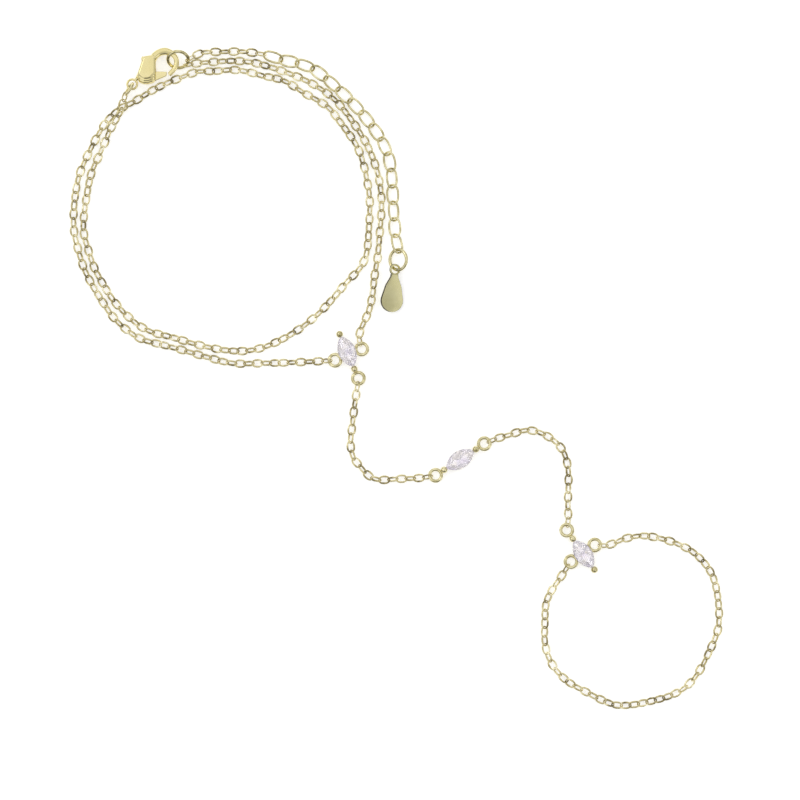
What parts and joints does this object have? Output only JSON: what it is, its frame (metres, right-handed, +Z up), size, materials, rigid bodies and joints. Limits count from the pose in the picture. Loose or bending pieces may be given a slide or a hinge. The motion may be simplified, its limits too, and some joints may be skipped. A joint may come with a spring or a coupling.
{
  "type": "hand chain bracelet",
  "caption": "Fine gold hand chain: wrist chain with lobster clasp and extender, marquise stones in pronged settings, and a finger loop, laid out flat.",
  "frame": {"origin": "middle of the laid out chain's outline, on the surface that it lies on", "axes": "+Z up out of the surface, +Y from the finger loop's side towards the clasp's side of the layout, +X from the wrist chain towards the finger loop"},
  "size_m": [0.1175, 0.1191, 0.0029],
  "materials": {
    "gold_chain": "polished pale yellow gold plating",
    "gold_polished": "polished pale yellow gold plating",
    "gold_tag": "smooth pale yellow gold plating",
    "stone": "clear cut stone"
  },
  "bodies": {
    "bracelet": {"clasp_body": "gold_polished", "tail_ring": "gold_polished", "claw_ring": "gold_polished", "wrist_chain_inner": "gold_chain", "wrist_chain_outer": "gold_chain", "wrist_chain_return": "gold_chain", "extender_lead": "gold_chain", "extender_chain": "gold_chain", "end_ring": "gold_polished", "tag": "gold_tag", "setting_1": "gold_polished", "stone_1": "stone", "setting_2": "gold_polished", "stone_2": "stone", "setting_3": "gold_polished", "stone_3": "stone", "hand_chain_1": "gold_chain", "hand_chain_2": "gold_chain", "finger_loop": "gold_chain"},
    "lever": {"clasp_lever": "gold_polished"}
  },
  "joints": [
    {"name": "clasp_lever_hinge", "type": "hinge", "parent": "bracelet", "child": "lever", "pos_m": [-0.0444, 0.0546, 0.0012], "axis": [0, 0, 1], "range_deg": [0, 25], "stiffness_Nm_per_rad": 0.0004, "springref_deg": -20.05}
  ]
}
